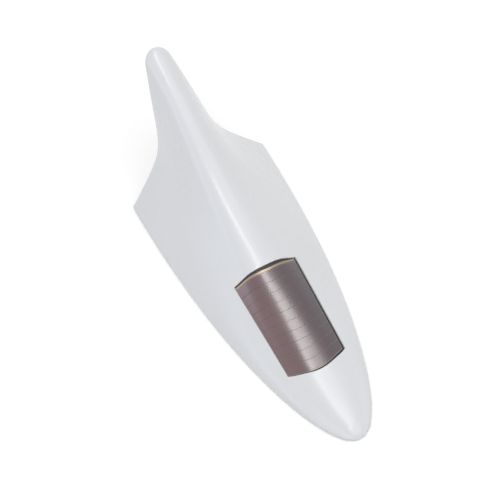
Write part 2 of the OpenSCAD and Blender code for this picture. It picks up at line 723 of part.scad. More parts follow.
PIN_PITCH = 2.5;
PIN_H = 2.4;
module switch_contacts() {
    color("gold") for (i = [-1:1])
        translate([i * PIN_PITCH - 0.3, switch_at - mid - 0.25, CASE_FLOOR + switch_h + seat])
            cube([0.6, 0.5, PIN_H]);
}

// A wire as a tube with eight sides along a smoothed path
function bend(p, i) =
    let (n = len(p) - 1, a = p[max(0, i - 1)], b = p[i], c = p[min(n, i + 1)], d = p[min(n, i + 2)])
    [for (q = [0:0.25:0.75])
        0.5 * (2 * b + (c - a) * q + (2 * a - 5 * b + 4 * c - d) * q * q
               + (3 * b - a - 3 * c + d) * q * q * q)];
function smooth(p) = concat([for (i = [0:len(p) - 2]) each bend(p, i)], [p[len(p) - 1]]);
function unit(v) = v / norm(v);
module wire(path) {
    p = smooth(path);
    n = len(p);
    sides = 8;
    rings = [for (i = [0:n - 1])
        let (d = unit(p[min(n - 1, i + 1)] - p[max(0, i - 1)]))
        let (a = unit(cross(d, abs(d[2]) > 0.9 ? [0, 1, 0] : [0, 0, 1])), b = cross(d, a))
        [for (k = [0:sides - 1])
            p[i] + wire_d / 2 * (cos(360 * k / sides) * a + sin(360 * k / sides) * b)]];
    faces = concat(
        [for (i = [0:n - 2], k = [0:sides - 1])
            let (a = i * sides + k, b = i * sides + (k + 1) % sides)
            each [[a, b + sides, b], [a, a + sides, b + sides]]],
        [[for (k = [0:sides - 1]) k], [for (k = [sides - 1:-1:0]) (n - 1) * sides + k]]);
    polyhedron(flat(rings), faces);
}

WIRE_Z = BOARD_TOP + seat + wire_d / 2;
BOARD_REAR = board_front + board_l;
EDGE_X = board_w / 2 - post_inset - board_head_d / 2 - wire_d / 2 - 0.3;

module panel_wire(side) {
    top = depth_z(PANEL_WIRE_X, PANEL_WIRE_T, FILM_TOP + film_t) - 0.5;
    color(side > 0 ? "red" : "black") wire([
        [side * PANEL_WIRE_X, PANEL_WIRE_T - mid, top],
        [side * PANEL_WIRE_X, PANEL_WIRE_T - mid, top - carrier_t - 1],
        [side * PANEL_WIRE_X, PANEL_WIRE_T - mid, top - carrier_t - 3.5],
        [side * EDGE_X, board_front - 1.5 - mid, WIRE_Z + 3],
        [side * EDGE_X, board_front + 0.8 - mid, WIRE_Z + 0.3],
        [side * EDGE_X, board_front + 2.4 - mid, WIRE_Z]]);
}

module battery_wire(side) {
    out = BATTERY_L / 2 + 0.7 + wire_d / 2;
    color(side > 0 ? "red" : "black") wire([
        [side * out, battery_at - mid, BATTERY_Z + 1],
        [side * (out + 0.9), battery_at - BATTERY_R / 2 - mid, BATTERY_Z + 1],
        [side * (board_w / 2 - 1.4), BOARD_REAR + 0.5 - mid, WIRE_Z + 1.4],
        [side * (board_w / 2 - 1.4), BOARD_REAR - 1 - mid, WIRE_Z]]);
}

module lamp_wire(side) {
    x = side * 2.5;
    over = BATTERY_Z + BATTERY_R + wire_d / 2 + 1;
    color(side > 0 ? "red" : "black") wire([
        [x, LED_BACK - board_t - wire_d / 2 - seat - mid, LAMP_BOARD_Z + lamp_board_h - 2],
        [x, LED_BACK - board_t - wire_run - mid, over + 0.6],
        [x, battery_at + wire_run / 2 - mid, over + 0.4],
        [x, battery_at - wire_run - mid, over],
        [x, BOARD_REAR + 0.8 - mid, WIRE_Z + 3.4],
        [x, BOARD_REAR - 1 - mid, WIRE_Z]]);
}

module switch_wire(side) {
    top = CASE_FLOOR + switch_h + seat + PIN_H + seat + wire_d / 2;
    color("black") wire([
        [side * PIN_PITCH, switch_at - mid, top],
        [side * (PIN_PITCH + 0.3), switch_at + wire_run - mid, top + 0.4],
        [side * 3, board_front - 2 - mid, WIRE_Z + 1.2],
        [side * 3, board_front + 0.6 - mid, WIRE_Z + 0.25],
        [side * 3, board_front + 2 - mid, WIRE_Z]]);
}

fin_shell();
panel_carrier();
panel_tape();
solar_film();
cell_strips();
contact_strip();
base_plate();
foam_pad();
plate_screws();
rear_lens();
lamp_board();
for (i = [0:led_cols * led_rows - 1]) led(i);
main_board();
board_screws();
control_chip();
vibration_switch();
capacitor();
drive_transistor();
charge_diode();
for (i = [0:battery_cells - 1]) battery_cell(i);
battery_sleeve();
switch_case();
switch_contacts();
switch_slider();
panel_wire(1);  // panel_wire_plus
panel_wire(-1);  // panel_wire_minus
battery_wire(1);  // battery_wire_plus
battery_wire(-1);  // battery_wire_minus
lamp_wire(1);  // lamp_wire_plus
lamp_wire(-1);  // lamp_wire_minus
switch_wire(1);  // switch_wire_1
switch_wire(-1);  // switch_wire_2
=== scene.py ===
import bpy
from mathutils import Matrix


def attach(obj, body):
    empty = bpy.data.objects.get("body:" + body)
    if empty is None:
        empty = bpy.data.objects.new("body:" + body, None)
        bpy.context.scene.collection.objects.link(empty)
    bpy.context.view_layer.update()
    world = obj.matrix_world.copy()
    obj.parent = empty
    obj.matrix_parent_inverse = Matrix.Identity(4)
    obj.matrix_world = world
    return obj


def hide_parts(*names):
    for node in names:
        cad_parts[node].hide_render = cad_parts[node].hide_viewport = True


bl_info = {
    "name": "Stick-on shark fin aerial",
    "version": (1, 0, 0),
    "blender": (4, 5, 0),
    "location": "3D View > Sidebar > Shark fin",
    "description": "Moulding, solar panel, tail lamp, foam pad and studio for a shark fin aerial",
    "category": "Object",
}

import math

import bmesh
import bpy
import numpy as np
from bpy.props import FloatProperty, FloatVectorProperty, IntProperty, PointerProperty
from mathutils import Matrix, Vector
from mathutils.geometry import convex_hull_2d, tessellate_polygon

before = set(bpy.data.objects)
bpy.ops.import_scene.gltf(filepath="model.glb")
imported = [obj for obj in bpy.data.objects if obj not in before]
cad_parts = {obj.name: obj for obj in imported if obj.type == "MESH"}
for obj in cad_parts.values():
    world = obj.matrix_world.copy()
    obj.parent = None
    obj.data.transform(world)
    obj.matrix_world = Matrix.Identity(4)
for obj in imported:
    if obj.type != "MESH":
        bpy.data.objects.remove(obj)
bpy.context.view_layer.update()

MIRROR = np.array([-1, 1, 1])

# Cross-sections of the moulding from nose to tail: place along the base, crest height,
# shoulder half width, shoulder drop, shoulder angle, skirt angle, pull of both curve ends
STATIONS = np.array([
    [0.000, 0.045, 0.590, 0.220, 26, 98, 0.58, 0.38],
    [0.067, 0.073, 0.590, 0.220, 28, 96, 0.58, 0.38],
    [0.252, 0.165, 0.520, 0.200, 34, 78, 0.40, 0.38],
    [0.548, 0.325, 0.400, 0.200, 44, 64, 0.42, 0.40],
    [0.771, 0.543, 0.240, 0.120, 60, 58, 0.50, 0.46],
    [0.9325, 0.872, 0.165, 0.080, 74, 56, 0.58, 0.53],
    [1.000, 1.000, 0.185, 0.075, 78, 54, 0.58, 0.59],
])
(CREST, SHOULDER_X, SHOULDER_DROP, SHOULDER_ANGLE, SKIRT_ANGLE, FOOT_PULL,
 SHOULDER_PULL) = range(1, 8)
PLAN_POWERS = 2.2, 1 / 1.69             # bulge of the base's plan between nose and tail
LEAN_POWERS = 3, 1.5                    # how the lean to the rear grows along and upwards
CROWN_PULL, CROWN_FLAT = 0.36, 0.55     # pull of the crown's curve at the shoulder and crest

# Steps of the grids: rows ahead of, along and behind the window, columns up the half section,
# and steps of the rounded edges
ROWS = 46, 44, 60
ARC, FLANK, CROWN, TAIL_ARC, EDGE_ARC, CORNER_STEPS = 5, 30, 34, 5, 4, 6
SHEET_ACROSS, SHEET_DOWN, STRIP_DOWN, CONTACT_DOWN = 72, 72, 8, 2
HALVINGS = 26
STEP_U, STEP_T, STEP_Z = 0.004, 2e-5, 1e-5      # steps that slopes are measured over


def length(name, description, value, lowest=0.0):
    return FloatProperty(name=name, description=description, default=value, min=lowest,
                         unit="LENGTH", precision=5)


def number(name, description, value, lowest=0):
    return FloatProperty(name=name, description=description, default=value, min=lowest)


def rotation(name, description, degrees):
    return FloatProperty(name=name, description=description, default=math.radians(degrees),
                         subtype="ANGLE", unit="ROTATION")


def colour(name, description, value):
    return FloatVectorProperty(name=name, description=description, default=value, min=0, max=1,
                               size=3, subtype="COLOR")


class FinSizes(bpy.types.PropertyGroup):
    base_length: length("Base length", "Length of the base from nose to tail", 0.1617, 0.1)
    base_width: length("Base width", "Width of the base at the tail", 0.066, 0.04)
    fin_height: length("Fin height", "Height of the fin before its tip is rounded", 0.0795, 0.05)
    tip_sweep: length("Tip sweep", "How far the tip leans behind the tail", 0.0167)
    sweep_from: length("Sweep from", "Height at which the fin starts to lean", 0.024)
    rim_height: length("Rim height", "Height of the moulding's lower edge above the roof", 0.0005)
    nose_round: length("Nose rounding", "Length over which the nose rises", 0.006)
    nose_cut: length("Nose cut", "How much of the pointed plan is cut off", 0.0013)
    nose_blunt: length("Nose blunting", "Length over which the cut nose is rounded", 0.0012)
    tip_round: length("Tip rounding", "Radius of the tip's rear corner", 0.003)
    wall: length("Wall", "Wall of the moulding", 0.0022)
    tail_wall: length("Tail wall", "Wall of the tail face", 0.0024)
    cavity_start: length("Cavity start", "Where the hollow starts behind the nose", 0.009)
    foot_radius: length("Foot radius", "Rounding of the lower edge at the tail", 0.0004)
    nose_foot_radius: length("Nose foot radius", "Rounding of the lower edge at the nose", 0.0008)
    tail_radius: length("Tail radius", "Rounding around the tail face", 0.0007)
    window_radius: length("Window radius", "Rounding of the panel window's edge", 0.0003)
    lamp_radius: length("Lamp window radius", "Rounding of the lamp window's edge", 0.0004)
    pad_radius: length("Pad radius", "Rounding of the foam pad's edges", 0.00035)


class PanelSizes(bpy.types.PropertyGroup):
    front_width: length("Front width", "Width of the window at its front", 0.0278)
    rear_width: length("Rear width", "Width of the window at its rear", 0.0303)
    front: length("Front corners", "Place of the window's front corners behind the nose", 0.039196)
    rear: length("Rear corners", "Place of the window's rear corners behind the nose", 0.086801)
    front_bow: length("Front bow", "Bow of the window's front edge", 0.0056)
    rear_bow: length("Rear bow", "Bow of the window's rear edge", 0.0017)
    lip: length("Lip", "Thickness of the moulding around the window", 0.0008)
    rebate: length("Rebate", "Width of the step that holds the carrier", 0.00275)
    film_depth: length("Film depth", "Depth of the film below the skin", 0.0002)
    film_thickness: length("Film thickness", "Thickness of the film", 0.0003)
    film_gap: length("Film gap", "Gap between the film's ends and the window", 0.00055)
    side_gap: length("Side gap", "Gap between the film's sides and the window", 0.0007)
    film_shift: length("Film shift", "How far the film sits off centre", 0.00055)
    film_slot: length("Rear slot", "Greatest width of the slot behind the film", 0.0009)
    slot_lean: number("Slot lean", "How much wider the slot is on the right", 0.7, -1)
    cell_depth: length("Cell depth", "Depth of the cells below the skin", 0.0)
    cell_thickness: length("Cell thickness", "Thickness of the cell strips", 0.0001)
    cell_margin: length("Cell margin", "Bare edge of the film around the cells", 0.00035)
    cell_gap: length("Cell gap", "Gap between two cell strips", 0.00028)
    contact_width: length("Contact width", "Width of the rear contact strip", 0.0007)
    cells: IntProperty(name="Cells", description="Number of cell strips", default=10, min=1)


class LampSizes(bpy.types.PropertyGroup):
    width: length("Lamp width", "Width of the lamp window", 0.025)
    height: length("Lamp height", "Height of the lamp window", 0.014)
    bottom: length("Lamp bottom", "Height of the lamp window's lower edge", 0.0066)
    corner: length("Lamp corner", "Corner radius of the lamp window", 0.0025)
    border: length("Lamp border", "Flat border above the lamp window", 0.0009)


class FinColours(bpy.types.PropertyGroup):
    shell: colour("Moulding", "White moulding", (0.634, 0.644, 0.667))
    carrier: colour("Carrier", "Dark carrier behind the film", (0.035, 0.034, 0.026))
    film: colour("Film", "Tan film between and around the cells", (0.17, 0.11, 0.095))
    # The two cell colours are lit and shaded copies of one finish: the second one is painted shade
    # for the cells' darker right side.
    cells: colour("Cells", "Reddish brown cells, as seen from the left", (0.108, 0.042, 0.048))
    shaded_right_cells: colour("Far cells", "Purple cells, as seen on the right", (0.022, 0.006, 0.018))
    contact: colour("Contact", "Pale printed contact strip", (0.35, 0.28, 0.20))
    base: colour("Base plate", "Black base plate", (0.022, 0.022, 0.024))
    foam: colour("Foam", "Dark grey foam pad", (0.05, 0.05, 0.052))
    lens: colour("Lens", "Clear red lens", (0.90, 0.035, 0.025))
    board: colour("Board", "Green circuit board", (0.018, 0.12, 0.045))
    sleeve: colour("Sleeve", "Blue battery sleeve", (0.03, 0.11, 0.36))
    floor: colour("Floor", "Pale studio floor", (0.86, 0.86, 0.86))


# ---- shape of the skin

class Skin:
    """The moulding's swept outer skin, with u from 0 at the foot over 1 at the shoulder to 2."""

    def __init__(self, sizes):
        self.sizes = sizes
        self.length = sizes.base_length
        self.rim = sizes.rim_height
        self.slopes = {c: self.column_slopes(c) for c in range(CREST, SHOULDER_PULL + 1)}

    def column_slopes(self, column):
        x, y = STATIONS[:, 0], STATIONS[:, column]
        gap, grade = np.diff(x), np.diff(y) / np.diff(x)
        slopes = np.zeros(len(x))
        for i in range(1, len(x) - 1):
            if grade[i - 1] * grade[i] > 0:
                before, after = 2 * gap[i] + gap[i - 1], gap[i] + 2 * gap[i - 1]
                slopes[i] = (before + after) / (before / grade[i - 1] + after / grade[i])
        slopes[0] = 1.5 * grade[0] - 0.5 * slopes[1]
        slopes[-1] = 1.5 * grade[-1] - 0.5 * slopes[-2]
        return slopes

    def along(self, column, k):
        x, y, m = STATIONS[:, 0], STATIONS[:, column], self.slopes[column]
        i = np.clip(np.searchsorted(x, k, side="left") - 1, 0, len(x) - 2)
        gap = x[i + 1] - x[i]
        q = (k - x[i]) / gap
        return (y[i] * (2 * q**3 - 3 * q**2 + 1) + y[i + 1] * (3 * q**2 - 2 * q**3)
                + gap * m[i] * (q**3 - 2 * q**2 + q) + gap * m[i + 1] * (q**3 - q**2))

    def rise(self, t, reach):
        return np.where(t >= reach, 1, np.sqrt(np.maximum(0, 1 - (1 - t / reach) ** 2)))

    def half_width(self, t):
        cut = self.sizes.nose_cut
        rest = np.maximum(0, 1 - (t + cut) / (self.length + cut))
        inner, outer = PLAN_POWERS
        plan = self.sizes.base_width / 2 * np.maximum(0, 1 - rest**inner) ** outer
        return plan * self.rise(t, self.sizes.nose_blunt)

    def crest(self, t):
        tip = self.sizes.tip_round
        rise = self.rise(t, self.sizes.nose_round)
        over = np.clip((t - self.length + tip) / tip, 0, 1)
        drop = tip * (1 - np.sqrt(np.maximum(0, 1 - over**2)))
        height = self.sizes.fin_height * self.along(CREST, t / self.length)
        return self.rim + (height - self.rim) * rise - drop

    def lean(self, t, z):
        start = self.sizes.sweep_from
        share = np.maximum(0, (z - start) / (self.sizes.fin_height - start))
        along, upwards = LEAN_POWERS
        return self.sizes.tip_sweep * (t / self.length) ** along * share**upwards

    def tail_lean(self, z):
        """Place and slope of the leaning tail face at the height z."""
        below, above = (self.lean(self.length, z + step) for step in (-STEP_Z, STEP_Z))
        return self.length / 2 + self.lean(self.length, z), (above - below) / (2 * STEP_Z)

    def section(self, t):
        k, w, h = t / self.length, self.half_width(t), self.crest(t)
        sx = self.along(SHOULDER_X, k) * w
        sz = np.maximum(self.rim, h * (1 - self.along(SHOULDER_DROP, k)))
        low, high = np.hypot(sx - w, sz - self.rim), np.hypot(sx, h - sz)
        shoulder, skirt = (np.radians(self.along(c, k)) for c in (SHOULDER_ANGLE, SKIRT_ANGLE))
        pull, reach = (self.along(c, k) * low for c in (FOOT_PULL, SHOULDER_PULL))
        zero = np.zeros_like(w)
        return [(w, self.rim + zero),
                (w - pull * np.cos(skirt), self.rim + pull * np.sin(skirt)),
                (sx + reach * np.cos(shoulder), sz - reach * np.sin(shoulder)),
                (sx, sz),
                (sx - CROWN_PULL * high * np.cos(shoulder),
                 sz + CROWN_PULL * high * np.sin(shoulder)),
                (CROWN_FLAT * sx, h),
                (zero, h)]

    def profile(self, t, u):
        points, upper = self.section(t), u > 1
        q = np.where(upper, u - 1, u)
        weights = ((1 - q) ** 3, 3 * (1 - q) ** 2 * q, 3 * (1 - q) * q**2, q**3)
        return [sum(w * np.where(upper, points[i + 3][m], points[i][m])
                    for i, w in enumerate(weights)) for m in (0, 1)]

    def point(self, t, u):
        x, z = self.profile(t, u)
        return np.stack([x, t - self.length / 2 + self.lean(t, z), z], -1)

    def normal(self, t, u):
        across = (self.point(t, np.minimum(2, u + STEP_U))
                  - self.point(t, np.maximum(0, u - STEP_U)))
        forward = (self.point(np.minimum(self.length, t + STEP_T), u)
                   - self.point(np.maximum(1e-6, t - STEP_T), u))
        n = np.cross(forward, across)
        n /= np.linalg.norm(n, axis=-1, keepdims=True)
        crest = u >= 2 - 1e-9
        n[..., 0] = np.where(crest, 0, n[..., 0])
        return n / np.linalg.norm(n, axis=-1, keepdims=True)

    def halve(self, t, below):
        """u at which a rule that holds at the foot stops holding."""
        a, b = np.zeros_like(t), np.full_like(t, 2.0)
        for _ in range(HALVINGS):
            u = (a + b) / 2
            low = below(u)
            a, b = np.where(low, u, a), np.where(low, b, u)
        return (a + b) / 2

    def u_at_x(self, t, x):
        u = self.halve(t, lambda u: self.profile(t, u)[0] > x)
        return np.where(x <= 1e-9, 2.0, u)

    def u_at_rim(self, t, depth):
        return self.halve(t, lambda u: (self.point(t, u) - depth * self.normal(t, u))[..., 2]
                          < self.rim)

    def at(self, t, x, depth):
        """Point at t from the nose and x from the middle, that many metres below the skin."""
        t, x = np.broadcast_arrays(np.asarray(t, float), np.asarray(x, float))
        u = self.u_at_x(t, np.abs(x))
        p = self.point(t, u) - depth * self.normal(t, u)
        p[..., 0] = np.where(x < 0, -p[..., 0], p[..., 0])
        return p


def arc_drop(x, half):
    return 1 - np.minimum(1, np.abs(x) / half) ** 2


def window_spot(panel, q, v, side, front, rear, dip=0.0, shift=0.0):
    """Place in the panel's window: q from -1 to 1 across and v from 0 at the front to 1."""
    hf, hr = panel.front_width / 2, panel.rear_width / 2
    xf, xr = q * (hf + side), q * (hr + side)
    tf = panel.front - panel.front_bow * arc_drop(xf, hf) - front
    slot = dip * (1 + panel.slot_lean * q)
    tr = panel.rear - (panel.rear_bow + slot) * arc_drop(xr, hr) + rear
    return tf + (tr - tf) * v, xf + (xr - xf) * v + shift


def turn(a, b, share):
    """Unit vectors a turned towards unit vectors b by a share of their angle."""
    dot = np.clip((a * b).sum(-1, keepdims=True), -1, 1)
    angle = np.arccos(dot)
    away = b - dot * a
    away /= np.maximum(1e-12, np.linalg.norm(away, axis=-1, keepdims=True))
    return a * np.cos(angle * share) + away * np.sin(angle * share)


class Patches:
    """Collects grids and rings of points, which are welded into one closed mesh."""

    def __init__(self):
        self.points, self.faces = [], []

    def add(self, points):
        start = len(self.points)
        self.points.extend(np.reshape(points, (-1, 3)).tolist())
        return start

    def grid(self, points, keep=None):
        rows, columns = points.shape[:2]
        start = self.add(points)
        for i in range(rows - 1):
            for j in range(columns - 1):
                if keep is None or keep(i, j):
                    a = start + i * columns + j
                    self.faces.append((a, a + 1, a + columns + 1, a + columns))

    def rings(self, rings):
        rows = np.array(rings)
        self.grid(np.concatenate([rows, rows[:, :1]], axis=1))

    def strips(self, left, right):
        self.grid(np.stack([np.asarray(left), np.asarray(right)], 0))

    def plate(self, edge, hole):
        loops = [[Vector(p) for p in edge], [Vector(p) for p in hole]]
        start = self.add(np.concatenate([edge, hole]))
        for tri in tessellate_polygon(loops):
            self.faces.append(tuple(start + i for i in tri))

    def build(self, name, weld=3e-6):
        mesh = bpy.data.meshes.new(name)
        mesh.from_pydata(self.points, [], self.faces)
        work = bmesh.new()
        work.from_mesh(mesh)
        bmesh.ops.remove_doubles(work, verts=work.verts, dist=weld)
        bmesh.ops.dissolve_degenerate(work, edges=work.edges, dist=1e-7)
        loose = [v for v in work.verts if not v.link_faces]
        bmesh.ops.delete(work, geom=loose, context="VERTS")
        bmesh.ops.recalc_face_normals(work, faces=work.faces)
        work.to_mesh(mesh)
        work.free()
        return mesh


def piece(name, mesh, material, replaced, angle=35):
    """Put a finished outer piece on the housing in place of a CAD node."""
    mesh.shade_smooth()
    mesh.set_sharp_from_angle(angle=math.radians(angle))
    mesh.materials.append(material)
    obj = bpy.data.objects.new(name, mesh)
    bpy.context.scene.collection.objects.link(obj)
    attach(obj, "housing")
    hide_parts(replaced)
    return obj


# ---- moulding

def smooth_step(q):
    q = np.clip(q, 0, 1)
    return q * q * (3 - 2 * q)


def edge_steps(radius):
    """Growth and depth of each ring of a rounded edge, from the outer face inwards."""
    for k in range(EDGE_ARC + 1):
        a = math.pi / 2 * k / EDGE_ARC
        yield radius * (1 - math.sin(a)), radius * (1 - math.cos(a))


class Half:
    """Rows and columns of one half of the skin, laid out around the panel's window."""
    # rows crowd towards the nose, and near the window they bend to follow its curved edges
    nose_crowding, bend_from, bend_reach = 1.6, 0.012, 0.03

    def __init__(self, skin, panel, start, stop, grow):
        self.skin, self.panel, self.grow = skin, panel, grow
        first, last = panel.front - grow, panel.rear + grow
        a = start + (first - start) * (np.arange(ROWS[0] + 1) / ROWS[0]) ** self.nose_crowding
        b = first + (last - first) * np.arange(1, ROWS[1] + 1) / ROWS[1]
        c = last + (stop - last) * np.arange(1, ROWS[2] + 1) / ROWS[2]
        self.s = np.concatenate([a, b, c])
        self.window = (ROWS[0], ROWS[0] + ROWS[1])
        self.first, self.last = first, last

    def along_window(self, s):
        return np.clip((s - self.first) / (self.last - self.first), 0, 1)

    def side(self, s):
        """Half width at which the flank ends and the crown starts."""
        front, rear, skin = self.panel.front_width, self.panel.rear_width, self.skin
        half = (front + (rear - front) * self.along_window(s)) / 2 + self.grow
        ahead = skin.half_width(np.minimum(s, self.first)) / skin.half_width(np.array(self.first))
        return half * ahead

    def crown_t(self, s, q):
        """Rows over the crown bend, so that they run along the window's curved edges."""
        v = self.along_window(s)
        inside, front, rear = (window_spot(self.panel, q, w, *[self.grow] * 3)[0]
                               for w in (v, np.zeros_like(v), np.ones_like(v)))
        lead = smooth_step((s - self.bend_from) / (self.first - self.bend_from))
        before = s + (front - self.first) * lead
        after = s + (rear - self.last) * (1 - smooth_step((s - self.last) / self.bend_reach))
        return np.where(s < self.first, before, np.where(s > self.last, after, inside))

    def crown(self):
        s, q = np.meshgrid(self.s, 1 - np.arange(CROWN + 1) / CROWN, indexing="ij")
        return self.crown_t(s, q), self.side(s) * q


def full(half):
    """Both halves, from the left foot over the crest to the right foot."""
    return np.concatenate([half * MIRROR, half[:, -2::-1]], axis=1)


def rounded_rectangle(w, h, r, y, centre):
    points = []
    for sx, sz, start in ((1, 1, 0), (-1, 1, 90), (-1, -1, 180), (1, -1, 270)):
        for i in range(CORNER_STEPS + 1):
            a = math.radians(start + 90 * i / CORNER_STEPS)
            points.append((sx * (w / 2 - r) + r * math.cos(a), y,
                           centre + sz * (h / 2 - r) + r * math.sin(a)))
    return np.array(points)


def outer_half(skin, panel, sizes):
    """Points of the outer skin's half, with the rounded foot and tail edges."""
    nose_start, tail_zone, foot_fade, most_radius = 0.00005, 0.012, 0.6, 0.35
    lay = Half(skin, panel, nose_start, skin.length, sizes.window_radius)
    columns = ARC + FLANK + CROWN + 1
    crown_t, crown_x = lay.crown()
    side = lay.side(lay.s)[:, None]
    share = np.arange(FLANK + 1) / FLANK

    def surface(t, s_side):
        """Points and normals of all columns at the given t, one row for each row of the grid."""
        foot_t = t[:, :ARC + FLANK + 1]
        fade = smooth_step(foot_t / (foot_fade * skin.length))
        radius = np.minimum(sizes.nose_foot_radius
                            + (sizes.foot_radius - sizes.nose_foot_radius) * fade,
                            most_radius * (skin.crest(foot_t) - skin.rim))
        u_foot = skin.halve(foot_t, lambda u: (skin.point(foot_t, u)[..., 2] - radius
                                               * (1 + skin.normal(foot_t, u)[..., 2])) < skin.rim)
        u_side = skin.u_at_x(foot_t, np.broadcast_to(s_side, foot_t.shape))
        u = u_foot + (u_side - u_foot) * np.concatenate([np.zeros(ARC), share])
        point, normal = skin.point(foot_t, u), skin.normal(foot_t, u)
        for k in range(ARC):
            centre = point[:, k] - radius[:, k, None] * normal[:, k]
            down = np.broadcast_to([0.0, 0.0, -1.0], normal[:, k].shape)
            bent = turn(down, normal[:, k], k / ARC)
            point[:, k], normal[:, k] = centre + radius[:, k, None] * bent, bent
        over_t = t[:, ARC + FLANK + 1:]
        u_over = skin.u_at_x(over_t, crown_x[-len(t):, 1:])
        over, over_normal = skin.point(over_t, u_over), skin.normal(over_t, u_over)
        return np.concatenate([point, over], 1), np.concatenate([normal, over_normal], 1)

    t = np.repeat(lay.s[:, None], columns, axis=1)
    t[:, ARC + FLANK:] = crown_t
    # where each column has to end, so that the tail's rounding touches the tail face
    end = np.full((1, columns), skin.length - sizes.tail_radius)
    for _ in range(8):
        p, n = surface(end, side[-1:])
        centre = p - sizes.tail_radius * n
        face_y, slope = skin.tail_lean(centre[..., 2])
        tail_y = 1 / np.sqrt(1 + slope**2)
        off = (centre[..., 1] - face_y) * tail_y
        end = np.minimum(end - (off + sizes.tail_radius) / tail_y, skin.length - 2e-6)
    push = np.clip((t - (skin.length - tail_zone)) / tail_zone, 0, 1)
    t = t - push * (skin.length - end)
    point, normal = surface(t, side)
    last, last_normal = point[-1], normal[-1]
    centre = last - sizes.tail_radius * last_normal
    _, slope = skin.tail_lean(centre[:, 2])
    face = np.stack([0 * slope, 1 + 0 * slope, -slope], -1)
    face /= np.linalg.norm(face, axis=-1, keepdims=True)
    arcs = [centre + sizes.tail_radius * turn(last_normal, face, k / TAIL_ARC)
            for k in range(1, TAIL_ARC + 1)]
    return lay, np.concatenate([point, np.array(arcs)], 0)


def inner_half(skin, panel, sizes):
    """Points of the inner skin's half, one wall below the outer one."""
    lay = Half(skin, panel, sizes.cavity_start, skin.length - sizes.tail_wall, panel.rebate)
    crown_t, crown_x = lay.crown()
    share = np.arange(FLANK + 1) / FLANK
    t = np.repeat(lay.s[:, None], FLANK + 1, axis=1)
    u_foot = skin.u_at_rim(t, sizes.wall)
    u_side = skin.u_at_x(t, np.broadcast_to(lay.side(lay.s)[:, None], t.shape))
    u = u_foot + (u_side - u_foot) * share
    flank = skin.point(t, u) - sizes.wall * skin.normal(t, u)
    crown = skin.at(crown_t, crown_x, sizes.wall)[:, 1:]
    half = np.concatenate([flank, crown], 1)
    half[:, 0, 2] = skin.rim
    half[:, -1, 0] = 0
    half[-1, :, 1] = skin.tail_lean(half[-1, :, 2])[0] - sizes.tail_wall
    return half


def window_ring(skin, panel, grow, depth):
    """Closed ring of points around the window, grown by that much and that far down."""
    across = np.arange(-CROWN, CROWN + 1) / CROWN
    down = np.arange(ROWS[1] + 1) / ROWS[1]
    q = np.concatenate([across, np.ones(ROWS[1] - 1), across[::-1], -np.ones(ROWS[1] - 1)])
    v = np.concatenate([0 * across, down[1:-1], 0 * across + 1, down[-2:0:-1]])
    t, x = window_spot(panel, q, v, grow, grow, grow)
    return skin.at(t, x, depth)


def tail_plate(patches, left, right, top, hole):
    """Tail face: a flat plate with the lamp's hole up to the height top, and strips above."""
    split = next(i for i, p in enumerate(left) if p[2] > top)
    edge = np.concatenate([left[:split + 1], right[split::-1]])
    patches.plate(edge, hole)
    patches.strips(left[split:], right[split:])


class FIN_OT_moulding(bpy.types.Operator):
    """Build the white hollow moulding with its rounded edges and both windows"""
    bl_idname = "fin.moulding"
    bl_label = "Moulding"

    def execute(self, context):
        scene = context.scene
        sizes, panel, lamp = scene.fin_sizes, scene.fin_panel, scene.fin_lamp
        skin, patches = Skin(sizes), Patches()
        lay, outer = outer_half(skin, panel, sizes)
        inner = inner_half(skin, panel, sizes)
        first, last = lay.window
        for half, flank in (outer, ARC + FLANK), (inner, FLANK):
            patches.grid(full(half), lambda i, j: not (first <= i < last
                                                       and flank <= j < flank + 2 * CROWN))
        # rims below, nose cap, closing strip under the tail and the cavity's front wall
        rows = len(lay.s)
        foot, inner_foot = outer[:rows, 0], inner[:, 0]
        for m in (1, MIRROR):
            patches.strips(foot * m, inner_foot * m)
        for edge in (outer[0], inner[0]):
            patches.strips(edge * MIRROR, edge)
        for a, b in ((outer[0, 0], inner[0, 0]), (outer[rows - 1, 0], inner[-1, 0])):
            patches.grid(np.array([[a * MIRROR, a], [b * MIRROR, b]]))
        under = outer[rows - 1:, 0]
        patches.strips(under * MIRROR, under)
        # tail face and cavity's rear wall, with the lamp's window through both
        centre, top = lamp.bottom + lamp.height / 2, lamp.bottom + lamp.height + lamp.border
        steps = [*edge_steps(sizes.lamp_radius), (0, sizes.tail_wall)]
        rings = [rounded_rectangle(lamp.width + 2 * grow, lamp.height + 2 * grow,
                                   lamp.corner + grow, skin.length / 2 - depth, centre)
                 for grow, depth in steps]
        patches.rings(rings)
        tail_plate(patches, outer[-1] * MIRROR, outer[-1], top, rings[0])
        tail_plate(patches, inner[-1] * MIRROR, inner[-1], top, rings[-1])
        # rounded edge of the panel's window, its lip and the step for the carrier
        steps = [*edge_steps(sizes.window_radius), (0, panel.lip), (panel.rebate, panel.lip),
                 (panel.rebate, sizes.wall)]
        patches.rings([window_ring(skin, panel, grow, depth) for grow, depth in steps])
        piece("moulding", patches.build("moulding"), moulded_white(scene.fin_colours),
              "fin_shell")
        return {"FINISHED"}


# ---- solar panel

class Sheets(Patches):
    """Sheets that follow the skin, each with its upper and lower faces and its thin edge."""

    def __init__(self, scene):
        super().__init__()
        self.skin, self.panel = Skin(scene.fin_sizes), scene.fin_panel

    def sheet(self, top, thickness, margins, v0, v1, down):
        panel = self.panel
        q, v = np.meshgrid(2 * np.arange(SHEET_ACROSS + 1) / SHEET_ACROSS - 1,
                           v0 + (v1 - v0) * np.arange(down + 1) / down)
        t, x = window_spot(panel, q, v, *margins, panel.film_slot, -panel.film_shift)
        upper, lower = self.skin.at(t, x, top), self.skin.at(t, x, top + thickness)
        self.grid(upper)
        self.grid(lower)
        for end in (0, -1):
            self.strips(upper[end], lower[end])
        for end in (0, -1):
            self.strips(upper[:, end], lower[:, end])


